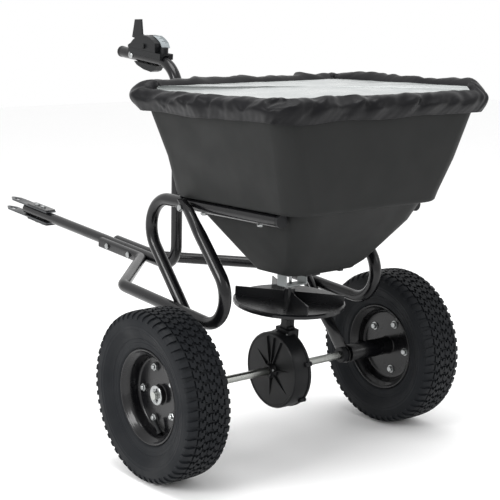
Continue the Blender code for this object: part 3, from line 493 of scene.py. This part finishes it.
for side, hand, body, first in ((-1, "left", "drive_wheel", 33.7), (1, "right", "free_wheel", -5.0)):
    build = bmesh.new()
    turned(build, [(0.0085, 0.3095), (0.0175, 0.3095), (0.0185, 0.3085), (0.0185, 0.3010),
                   (0.0205, 0.2999), (0.0205, 0.2942), (0.0185, 0.2930), (0.0185, 0.1775),
                   (0.0178, 0.1765), (0.0085, 0.1765)], 0.0, side, 64)
    hub = piece("hub_sleeve_" + hand, build, black_coat, body)
    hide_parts("hub_" + hand)
    build = bmesh.new()
    turned(build, [(0.0083, 0.3098), (0.0190, 0.3098), (0.0190, 0.3113), (0.0184, 0.3118),
                   (0.0083, 0.3118)], 0.0, side, 64)
    washer = piece("axle_washer_" + hand, build, zinc, "drive_wheel")
    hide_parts("wheel_washer_" + hand)

    studs, washers = bmesh.new(), bmesh.new()
    for count in range(5):
        turn = math.radians(first + 72 * count)
        outward = Vector((0, side, 0))
        face = round_axle(BOLT_CIRCLE, side * 0.2996, turn)
        back = round_axle(BOLT_CIRCLE, side * 0.2945, turn)
        round_bar(washers, face, outward, [(0, 0.0094), (0.0010, 0.0094), (0.0012, 0.0088)], 24)
        round_bar(studs, face, outward, [(0.0011, 0.0080), (0.0054, 0.0080), (0.0062, 0.0070)], 6, turn)
        round_bar(studs, face, outward, [(0.0060, 0.0046), (0.0088, 0.0046), (0.0096, 0.0038),
                                         (0.0098, 0.0012)], 20)
        round_bar(studs, back, -outward, [(0, 0.0085), (0.0014, 0.0085), (0.0016, 0.0066)], 24)
        round_bar(studs, back, -outward, [(0.0015, 0.0064), (0.0060, 0.0064), (0.0068, 0.0054)], 6, turn)
    piece("wheel_bolts_" + hand, studs, zinc, body)
    piece("bolt_washers_" + hand, washers, black_coat, body)

    root = round_axle(0.0730, side * 0.3080, math.radians(-84))
    tip = round_axle(0.0470, side * 0.3130, math.radians(-99))
    build = bmesh.new()
    round_bar(build, root, tip - root, [(0, 0.0060), (0.004, 0.0056), (0.0055, 0.0040), (0.018, 0.0036),
                                        (0.0185, 0.0042), (0.026, 0.0042), (0.0268, 0.0034)], 20)
    piece("valve_" + hand, build, satin_black, body)

# The axle: a bright drawn steel bar right through the machine, pinned to the left hub.
# Drawing leaves fine marks along the bar.
axle_steel, axle_shader = finish("axle_steel", (0.45, 0.46, 0.44), 0.24, 1.0)
grain(axle_steel, axle_shader, 0.0010, 0.00006, rough=(0.18, 0.34), patch=(0.31, 0.32, 0.30),
      stretch=(1, 0.04, 1))
dress(axle_steel, "axle")

# The gear case: two satin black mouldings, screwed together at six lugs round their edge.
# Ribs stiffen the flat face, and a collar at the top steadies the impeller's shaft.
CASE_FACE, CASE_SPLIT, CASE_RADIUS = -0.033, 0.004, 0.0780
LEAN = Matrix.Rotation(math.radians(5.0), 3, "Y")
SHAFT = Vector((AXLE.x, CASE_SPLIT, AXLE.z))


def along_shaft(up, across=(0.0, 0.0)):
    return SHAFT + LEAN @ Vector((across[0], across[1], up))


def behind_axle(x, y, z):
    return Vector((AXLE.x + x, y, z))


def box(build, corner, far_corner, place, chamfer=0.0008):
    """A block with chamfered ends, its corners placed by a function of x, y and z."""
    (x0, y0, z0), (x1, y1, z1) = corner, far_corner
    rings = []
    for z, inset in ((z0, chamfer), (z0 + chamfer, 0), (z1 - chamfer, 0), (z1, chamfer)):
        rings.append([place(x, y, z) for x, y in (
            (x0 + inset + chamfer, y0 + inset), (x1 - inset - chamfer, y0 + inset),
            (x1 - inset, y0 + inset + chamfer), (x1 - inset, y1 - inset - chamfer),
            (x1 - inset - chamfer, y1 - inset), (x0 + inset + chamfer, y1 - inset),
            (x0 + inset, y1 - inset - chamfer), (x0 + inset, y0 + inset + chamfer))])
    skin(build, rings)


case_black, case_shader = finish("case_black", (0.0050, 0.0053, 0.0060), 0.36)
case_shader.inputs["Specular IOR Level"].default_value = 0.16
grain(case_black, case_shader, 0.0013, 0.00010, rough=(0.28, 0.44), patch=(0.0075, 0.0078, 0.0085))

face, split, outer = CASE_FACE, CASE_SPLIT, CASE_RADIUS
left = [(outer, split - 0.0003), (outer + 0.0016, split - 0.0003), (outer + 0.0016, split - 0.0026),
        (outer, split - 0.0030), (outer, face + 0.0034), (outer - 0.0008, face + 0.0012),
        (outer - 0.0024, face), (outer - 0.0052, face), (outer - 0.0060, face + 0.0010),
        (0.0175, face + 0.0010), (0.0150, face - 0.0030), (0.0138, face - 0.0094),
        (0.0130, face - 0.0100), (0.0085, face - 0.0100), (0.0085, face + 0.0045),
        (outer - 0.0055, face + 0.0045), (outer - 0.0035, face + 0.0065), (outer - 0.0035, split - 0.0003)]
right = [(outer - 0.0035, split + 0.0003), (outer - 0.0035, 0.0060), (0.0420, 0.0225), (0.0085, 0.0225),
         (0.0085, 0.0320), (0.0122, 0.0320), (0.0130, 0.0312), (0.0150, 0.0260), (0.0430, 0.0260),
         (outer - 0.0040, 0.0095), (outer + 0.0010, 0.0072), (outer + 0.0016, 0.0060),
         (outer + 0.0016, split + 0.0003)]
shells = {"left": bmesh.new(), "right": bmesh.new()}
turned(shells["left"], left, 0.0, 1, 88)
turned(shells["right"], right, 0.0, 1, 88)
for count in range(6):
    turn = math.radians(17 + 60 * count)
    for hand, y0, y1 in (("left", split - 0.011, split - 0.0003), ("right", split + 0.0003, 0.0085)):
        base = round_axle(outer + 0.0012, y0, turn)
        tall = y1 - y0
        round_bar(shells[hand], base, (0, 1, 0), [(0, 0.0040), (0.0006, 0.0050), (tall - 0.0004, 0.0050),
                                                  (tall, 0.0046)], 16)


def face_rib(build, turn, near, far, wide, thin, tall, low):
    """A rib that stands on the case's flat face and tapers outward."""
    turn = math.radians(turn)
    run, across = Vector((math.cos(turn), 0, math.sin(turn))), Vector((-math.sin(turn), 0, math.cos(turn)))
    rings = []
    for radius, width, rise in ((near, wide, tall), (far, thin, low)):
        middle = AXLE + run * radius
        rings.append([middle + across * (width * k) + Vector((0, y, 0)) for k, y in (
            (-0.5, face + 0.002), (-0.32, face - rise), (0.32, face - rise), (0.5, face + 0.002))])
    skin(build, rings)


for turn in (99.0, 81.0, 63.0):
    face_rib(shells["left"], turn, 0.0120, 0.0700, 0.0024, 0.0022, 0.0034, 0.0024)
for turn, far in ((8, 0.0560), (-40, 0.0620), (-95, 0.0520), (140, 0.0560), (188, 0.0500)):
    face_rib(shells["left"], turn, 0.0125, far, 0.0058, 0.0006, 0.0040, -0.0006)
for hand, y0, y1 in (("left", -0.0135, -0.0003), ("right", 0.0003, 0.0135)):
    box(shells[hand], (-0.0210, y0, 0.0650), (0.0210, y1, 0.0850), lambda x, y, z: along_shaft(z, (x, y)))
    box(shells[hand], (-0.0098, y0 * 0.74, 0.0840), (0.0098, y1 * 0.74, 0.1045),
        lambda x, y, z: along_shaft(z, (x, y)))
    box(shells[hand], (-0.0140, y0 * 0.60, 0.0840), (0.0140, y1 * 0.60, 0.0900),
        lambda x, y, z: along_shaft(z, (x, y)))
for hand, build in shells.items():
    case = piece("gear_case_" + hand, build, case_black, "frame", 30.0)
    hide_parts("gearbox_" + hand)

# Two zinc screws: one locks the axle's collar, the other clamps the case's top.
build = bmesh.new()
round_bar(build, AXLE + Vector((0.0118, face - 0.0050, 0.0035)), (1, -0.3, 0.3),
          [(0, 0.0026), (0.0022, 0.0026), (0.0030, 0.0018)], 16)
for x in (-0.0155, 0.0155):
    round_bar(build, along_shaft(0.0760, (x, -0.0134)), (0, -1, 0), [(0, 0.0030), (0.0016, 0.0030),
                                                                     (0.0022, 0.0022)], 6)
piece("case_screws", build, zinc, "frame")
dress(satin_black, "drive_gear", "pinion")

# The impeller: a shallow black disc with four upright fins, which throws the seed.
# It is moulded in a glossier plastic than the hopper.
disc_black, disc_shader = finish("disc_black", (0.0045, 0.0048, 0.0055), 0.26)
disc_shader.inputs["Specular IOR Level"].default_value = 0.22
disc_shader.inputs["Coat Weight"].default_value = 0.12
disc_shader.inputs["Coat Roughness"].default_value = 0.18
grain(disc_black, disc_shader, 0.0020, 0.00008, rough=(0.20, 0.34), patch=(0.0075, 0.0078, 0.0088))
dress(disc_black, "impeller")

# The outlet: black guide rails and shutter under the hopper's floor, and a pale grey
# stirrup that hangs from them and steadies the top of the impeller's shaft.
stirrup_grey, stirrup_shader = finish("stirrup_grey", (0.36, 0.38, 0.38), 0.45)
grain(stirrup_grey, stirrup_shader, 0.0014, 0.00006, rough=(0.40, 0.52), patch=(0.28, 0.30, 0.30))
rails, stirrup = bmesh.new(), bmesh.new()
RAIL_TOP, RAIL_LOW = 0.3826, 0.3782
for y0, y1 in ((-0.0440, -0.0330), (0.0410, 0.0520)):
    box(rails, (0.0070, y0, RAIL_LOW), (0.1200, y1, RAIL_TOP), behind_axle)
box(rails, (0.0060, -0.0440, RAIL_LOW), (0.0380, 0.0520, RAIL_TOP), behind_axle)
for y0, y1 in ((-0.0235, -0.0210), (0.0290, 0.0315)):
    box(stirrup, (0.0080, y0, 0.3406), (0.0360, y1, RAIL_LOW), behind_axle, 0.0004)
for y0, y1 in ((-0.0230, 0.0003), (0.0077, 0.0310)):
    box(stirrup, (0.0085, y0, 0.3400), (0.0355, y1, 0.3425), behind_axle, 0.0004)
for x0, x1 in ((0.0085, 0.0122), (0.0206, 0.0355)):
    box(stirrup, (x0, -0.0002, 0.3400), (x1, 0.0082, 0.3425), behind_axle, 0.0004)
rail = piece("outlet_rails", rails, satin_black, "frame")
hanger = piece("shaft_stirrup", stirrup, stirrup_grey, "frame")
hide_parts("outlet_frame")
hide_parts("outlet_frame")
dress(satin_black, "shutter")

# The hopper: one moulding in charcoal plastic with a fine matt grain. A shelf all round
# rests on the two support loops; below it the funnel runs down to the outlet.
FLOOR_Z, WALL = 0.383, 0.0035
HOPPER = ((0.3830, 0.0065, 0.1245, 0.0855, 0.026), (0.3836, 0.0046, 0.1264, 0.0874, 0.028),
          (0.3860, 0.0030, 0.1285, 0.0890, 0.029), (0.4010, -0.0120, 0.1500, 0.0980, 0.032),
          (0.4840, -0.0900, 0.2240, 0.1450, 0.042), (0.5185, -0.1188, 0.2470, 0.1541, 0.045),
          (0.5202, -0.1225, 0.2490, 0.1580, 0.045), (0.5203, -0.1275, 0.2520, 0.1800, 0.045),
          (0.5212, -0.1300, 0.2545, 0.1828, 0.045), (0.5240, -0.1328, 0.2570, 0.1856, 0.045),
          (0.5290, -0.1340, 0.2580, 0.1870, 0.045), (0.5400, -0.1324, 0.2600, 0.1908, 0.0448),
          (0.6020, -0.1210, 0.2740, 0.2145, 0.042), (0.6600, -0.1296, 0.2838, 0.2335, 0.041),
          (0.7075, -0.1368, 0.2918, 0.2490, 0.040), (0.7090, -0.1400, 0.2950, 0.2520, 0.041),
          (0.7095, -0.1440, 0.2985, 0.2560, 0.042), (0.7212, -0.1440, 0.2985, 0.2560, 0.042),
          (0.7220, -0.1432, 0.2977, 0.2552, 0.042))
OUTSIDE_ONLY = (0.3830, 0.3836, 0.5203, 0.7090, 0.7095, 0.7212)     # heights the inside skips


def outline(front, rear, half, corner, inset=0.0, turns=10, sides=(1, 1)):
    """A rounded rectangle of (x, y, outward x, outward y), from the rear right corner."""
    corner = max(corner - inset, 0.004)
    front, rear, half = front + inset, rear - inset, half - inset
    ring = []
    for sx, sy, start, count in ((1, 1, 0, sides[0]), (-1, 1, 90, sides[1]), (-1, -1, 180, sides[0]),
                                 (1, -1, 270, sides[1])):
        cx = (rear - corner) if sx > 0 else (front + corner)
        cy = sy * (half - corner)
        for k in range(turns + 1):
            a = math.radians(start + 90 * k / turns)
            ring.append((AXLE.x + cx + corner * math.cos(a), cy + corner * math.sin(a),
                         math.cos(a), math.sin(a)))
        if sx == sy:
            ex, ey = (front + corner) if sx > 0 else (rear - corner), cy
        else:
            ex, ey = cx, -cy
        a = math.radians(start + 90)
        last = Vector((AXLE.x + cx + corner * math.cos(a), cy + corner * math.sin(a)))
        ahead = Vector((AXLE.x + ex + corner * math.cos(a), ey + corner * math.sin(a)))
        for k in range(1, count):
            spot = last.lerp(ahead, k / count)
            ring.append((spot.x, spot.y, math.cos(a), math.sin(a)))
    return ring


hopper_grey, hopper_shader = finish("hopper_grey", (0.0105, 0.0110, 0.0108), 0.58)
hopper_shader.inputs["Specular IOR Level"].default_value = 0.16
grain(hopper_grey, hopper_shader, 0.0016, 0.00035, rough=(0.52, 0.66), patch=(0.0150, 0.0157, 0.0155))

build = bmesh.new()
rings = [[(x, y, z) for x, y, _, _ in outline(front, rear, half, corner)]
         for z, front, rear, half, corner in HOPPER]
for z, front, rear, half, corner in HOPPER[::-1]:
    if z in OUTSIDE_ONLY:
        continue
    inset = WALL * (3 if z > 0.72 else 2 if z > 0.705 else 1.2)
    rise = WALL if z < 0.54 else 0.0
    rings.append([(x, y, z + rise) for x, y, _, _ in outline(front, rear, half, corner, inset)])
skin(build, rings)
hopper = piece("hopper_moulding", build, hopper_grey, "frame", 50.0)
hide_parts("hopper")

cutters = bmesh.new()
skin(cutters, [[(AXLE.x + x, CASE_SPLIT + y, z) for x, y in
                ((0.046, -0.030), (0.086, -0.030), (0.086, 0.030), (0.046, 0.030))]
               for z in (FLOOR_Z - 0.02, FLOOR_Z + 0.02)])
round_bar(cutters, along_shaft(0.205), along_shaft(0.235) - along_shaft(0.205),
          [(0, 0.0055), (0.03, 0.0055)], 24)
bmesh.ops.recalc_face_normals(cutters, faces=cutters.faces)
cut_mesh = bpy.data.meshes.new("hopper_cut")
cutters.to_mesh(cut_mesh)
cutters.free()
cut = bpy.data.objects.new("hopper_cut", cut_mesh)
scene.collection.objects.link(cut)
carve = hopper.modifiers.new("carve", "BOOLEAN")
carve.operation = "DIFFERENCE"
carve.solver = "EXACT"
carve.object = cut
even = hopper.modifiers.new("even", "WEIGHTED_NORMAL")
even.keep_sharp = True
bpy.context.view_layer.update()
carved = bpy.data.meshes.new_from_object(hopper.evaluated_get(bpy.context.evaluated_depsgraph_get()))
hopper.modifiers.clear()
hopper.data = carved
bpy.data.objects.remove(cut, do_unlink=True)

# A small black screw holds the shutter's far rail under the funnel's rear edge.
build = bmesh.new()
round_bar(build, (AXLE.x + 0.110, 0.046, 0.3832), (0, 0, -1),
          [(0, 0.0040), (0.0022, 0.0040), (0.0030, 0.0030)], 16)
piece("rail_screw", build, satin_black, "frame")

# The rain cover: a window of cloudy clear sheet, sewn to a gathered border of black nylon.
# Elastic in the hem draws the border in under the hopper's rim.
RIM = (-0.144, 0.2985, 0.2560)
SIDES = (96, 88)
TURNS = 26


def cover_ring(out, corner, z):
    """The cover's outline, that far outside the rim, at height z."""
    front, rear, half = RIM
    return [(Vector((x, y, z)), Vector((nx, ny, 0)))
            for x, y, nx, ny in outline(front - out, rear + out, half + out, corner, 0.0, TURNS, SIDES)]


def wander(x, y, seed):
    return noise.noise(Vector((x, y, seed)))


def weave(build, grid):
    """Faces between each closed line of a grid and the next."""
    for low, high in zip(grid, grid[1:]):
        for index in range(len(low)):
            after = (index + 1) % len(low)
            build.faces.new((low[index], low[after], high[after], high[index]))


# The border stands puffed up along the front and right sides, and lies low along the others.
# (outside the rim, low height, puffed height, corner radius, share of folds, of gathers)
BORDER = [(-0.0200, 0.7285, 0.7365, 0.012, 0.05, 0.30), (-0.0165, 0.7300, 0.7420, 0.018, 0.35, 0.55),
          (-0.0110, 0.7312, 0.7470, 0.024, 0.70, 0.50), (-0.0040, 0.7308, 0.7485, 0.034, 1.00, 0.45),
          (0.0040, 0.7280, 0.7450, 0.041, 1.00, 0.40), (0.0105, 0.7235, 0.7345, 0.046, 1.00, 0.40),
          (0.0145, 0.7180, 0.7240, 0.050, 1.00, 0.45), (0.0155, 0.7120, 0.7145, 0.051, 0.95, 0.55),
          (0.0138, 0.7060, 0.7070, 0.050, 0.80, 0.75), (0.0100, 0.6995, 0.6995, 0.048, 0.50, 1.00),
          (0.0058, 0.6935, 0.6935, 0.045, 0.30, 1.00), (0.0034, 0.6900, 0.6900, 0.044, 0.20, 0.90),
          (0.0026, 0.6912, 0.6912, 0.043, 0.15, 0.70)]


def puffed(outward):
    """How far a side stands up: 0 along the left and the rear, 1 along the front and the right."""
    share = min(1.0, max(0.0, (outward.y - outward.x) * 0.5 + 0.5))
    return share * share * (3 - 2 * share)


nylon, nylon_shader = finish("border_nylon", (0.0025, 0.0025, 0.0032), 0.40)
nylon_shader.inputs["Specular IOR Level"].default_value = 0.14
grain(nylon, nylon_shader, 0.0009, 0.00012, rough=(0.34, 0.48), patch=(0.0045, 0.0045, 0.0055))

rows = flowing(BORDER, 4)
ring_at = [cover_ring(out, corner, low_z) for out, low_z, _, corner, _, _ in rows]
count = len(ring_at[0])
around = [0.0]
for a, b in zip(ring_at[20], ring_at[20][1:]):
    around.append(around[-1] + (b[0] - a[0]).length)
lap = around[-1] + (ring_at[20][0][0] - ring_at[20][-1][0]).length

build = bmesh.new()
grid = []
for row, (out, low_z, high_z, corner, long_share, hem_share) in enumerate(rows):
    down = row / (len(rows) - 1)
    line = []
    for index, (spot, outward) in enumerate(ring_at[row]):
        turn = math.tau * around[index] / lap
        # Noise sampled on a circle, so that the folds meet where the border is joined.
        cx, cy = math.cos(turn) * lap / math.tau, math.sin(turn) * lap / math.tau
        high = puffed(outward)
        corner_share = abs(outward.x * outward.y) * 2.0
        near_corner = corner_share * max(0.0, outward.x - outward.y) / 1.414
        slant = (0.050 + 0.020 * wander(cx * 3, cy * 3, 8.8)) * down
        phase = (around[index] + slant + 0.024 * wander(cx * 11, cy * 11, 3.1)) / lap
        gx, gy = math.cos(math.tau * phase) * lap / math.tau, math.sin(math.tau * phase) * lap / math.tau
        wrinkle = wander(gx * 30, gy * 30, 5.5 + 1.2 * down)
        ridge_fold = 1 - abs(wander(gx * 15, gy * 15, 1.7 + 0.8 * down)) * 4.0
        sag = wander(cx * 9 + 4 * down, cy * 9, 12.0 + 1.3 * down)
        crush = wander(cx * 52, cy * 52 + 3 * down, 2.2 + 3.4 * down)
        gather = math.sin(math.tau * phase * 118) * (0.2 + 1.1 * abs(wander(cx * 22, cy * 22, 4.4)))
        push = (long_share * (0.0036 * max(-1.0, ridge_fold) + 0.0070 * wrinkle + 0.0045 * sag
                              + 0.0036 * crush)
                + hem_share * (0.0006 + 0.0022 * near_corner) * gather)
        lift = (long_share * (0.0030 * sag + 0.0030 * crush + 0.0045 * wrinkle)
                + high * long_share * 0.0060 * wander(cx * 17, cy * 17, 6.6)
                + 0.0050 * hem_share * down * wander(cx * 12, cy * 12, 8.0))
        height = low_z + (high_z - low_z) * high
        least = 0.0022 if low_z < 0.7225 else -1.0
        lean_in = 0.0220 * max(0.0, -outward.x) + 0.0080 * max(0.0, outward.y)
        flat_out = (out + push - lean_in * max(0.0, 1 - 2.2 * down)
                    + 0.0040 * corner_share * down * long_share)
        place = spot + outward * (max(flat_out, least) - out)
        place.z = height + lift
        line.append(build.verts.new(place))
    grid.append(line)
weave(build, grid)
seam = [vert.co.copy() for vert in grid[1]]
border = piece("cover_border", build, nylon, "hopper_cover", 180.0)
thick = border.modifiers.new("cloth", "SOLIDIFY")
thick.thickness = 0.0009
thick.offset = 0.0

window_clear, window_shader = finish("window_clear", (0.33, 0.345, 0.34), 0.30)
window_shader.inputs["Coat Weight"].default_value = 0.15
window_shader.inputs["Coat Roughness"].default_value = 0.15
grain(window_clear, window_shader, 0.030, 0.0012, rough=(0.24, 0.42), patch=(0.24, 0.255, 0.255))

build = bmesh.new()
middle = Vector((AXLE.x + (RIM[0] + RIM[1]) / 2, 0, 0.7335))
grid = []
for share in [1.01, 0.995, 0.98, 0.96] + [0.92 - 0.07 * k for k in range(13)]:
    line = []
    for spot in seam:
        place = spot * share + middle * (1 - share)
        crease = wander(place.x * 9, place.y * 5, 1.0) * 0.0030
        crease += abs(wander(place.x * 22 + place.y * 9, place.y * 20, 4.0)) * 0.0022
        place.z += (0.0020 * (1 - share ** 4) + crease * (1 - share ** 10) if share < 1 else 0.0) - 0.0012
        line.append(build.verts.new(place))
    grid.append(line)
weave(build, grid)
hub_vert = build.verts.new(sum((v.co for v in grid[-1]), Vector()) / count)
for index in range(count):
    build.faces.new((grid[-1][index], grid[-1][(index + 1) % count], hub_vert))
window = piece("cover_window", build, window_clear, "hopper_cover", 180.0)
thick = window.modifiers.new("film", "SOLIDIFY")
thick.thickness = 0.0005
thick.offset = 0.0
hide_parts("hopper_cover")

# The flow control: two black cheeks on a saddle over the post, with the lever between them.
# A moulded bracket under the post takes the cable that works the shutter.
lever_black, lever_shader = finish("lever_black", (0.0050, 0.0055, 0.0062), 0.34)
lever_shader.inputs["Specular IOR Level"].default_value = 0.22
grain(lever_black, lever_shader, 0.0012, 0.00012, rough=(0.28, 0.44), patch=(0.0085, 0.0090, 0.0098))
dress(lever_black, "quadrant_left", "quadrant_right", "quadrant_base", "flow_lever", "rate_stop",
      "cable_bracket", "lever_pivot")

# The rate scale: a light grey plate wrapped over the quadrant's rear shoulder, with
# moulded marks, one for each setting.
ARC_CENTRE = (-0.111, -0.026)
scale_grey, scale_shader = finish("scale_grey", (0.26, 0.29, 0.30), 0.42)
grain(scale_grey, scale_shader, 0.0030, 0.00008, rough=(0.36, 0.50), patch=(0.20, 0.22, 0.23))
ridge = [(ARC_CENTRE[0] + 0.0770 * math.cos(math.radians(t)),
          ARC_CENTRE[1] + 0.0770 * math.sin(math.radians(t))) for t in range(80, 54, -3)]
ridge += [(-0.0645, 0.0330), (-0.0610, 0.0275)]
build = bmesh.new()
rings = []
for index, (x, z) in enumerate(ridge):
    before, after = ridge[max(index - 1, 0)], ridge[min(index + 1, len(ridge) - 1)]
    run = Vector((after[0] - before[0], after[1] - before[1])).normalized()
    up = Vector((-run.y, run.x))
    rings.append([on_post(x + up.x * h, y, z + up.y * h) for y, h in
                  ((-0.0030, 0.0), (0.0185, 0.0), (0.0185, 0.0012), (-0.0030, 0.0012))])
skin(build, rings)
scale = piece("scale_plate", build, scale_grey, "frame")
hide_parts("rate_scale")
build = bmesh.new()
for index in range(1, len(ridge) - 2):
    x, z = ridge[index]
    up = Vector((x - ARC_CENTRE[0], z - ARC_CENTRE[1])).normalized()
    run = Vector((up.y, -up.x))
    reach = 0.0150 if index % 3 == 1 else 0.0080
    skin(build, [[on_post(x + run.x * s + up.x * h, y, z + run.y * s + up.y * h) for s, h in
                  ((-0.0004, 0.0010), (0.0004, 0.0010), (0.0004, 0.0015), (-0.0004, 0.0015))]
                 for y in (0.0180 - reach, 0.0180)])
piece("scale_marks", build, lever_black, "frame")

# The control's rear bolt: a domed carriage bolt through the post, zinc plated.
CONTROL_BOLT_X = -0.1705
build = bmesh.new()
base = on_post(CONTROL_BOLT_X, -0.0122)
round_bar(build, base, (0, -1, 0), [(0, 0.0084), (0.0010, 0.0084), (0.0026, 0.0070), (0.0038, 0.0048),
                                    (0.0044, 0.0022), (0.0045, 0.0006)], 24)
base = on_post(CONTROL_BOLT_X, 0.0122)
round_bar(build, base, (0, 1, 0), [(0, 0.0078), (0.0014, 0.0078), (0.0015, 0.0064)], 24)
round_bar(build, base, (0, 1, 0), [(0.0015, 0.0064), (0.0060, 0.0064), (0.0066, 0.0054)], 6)
dome = piece("control_bolt", build, zinc, "frame")
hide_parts("quadrant_bolt")

low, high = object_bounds()
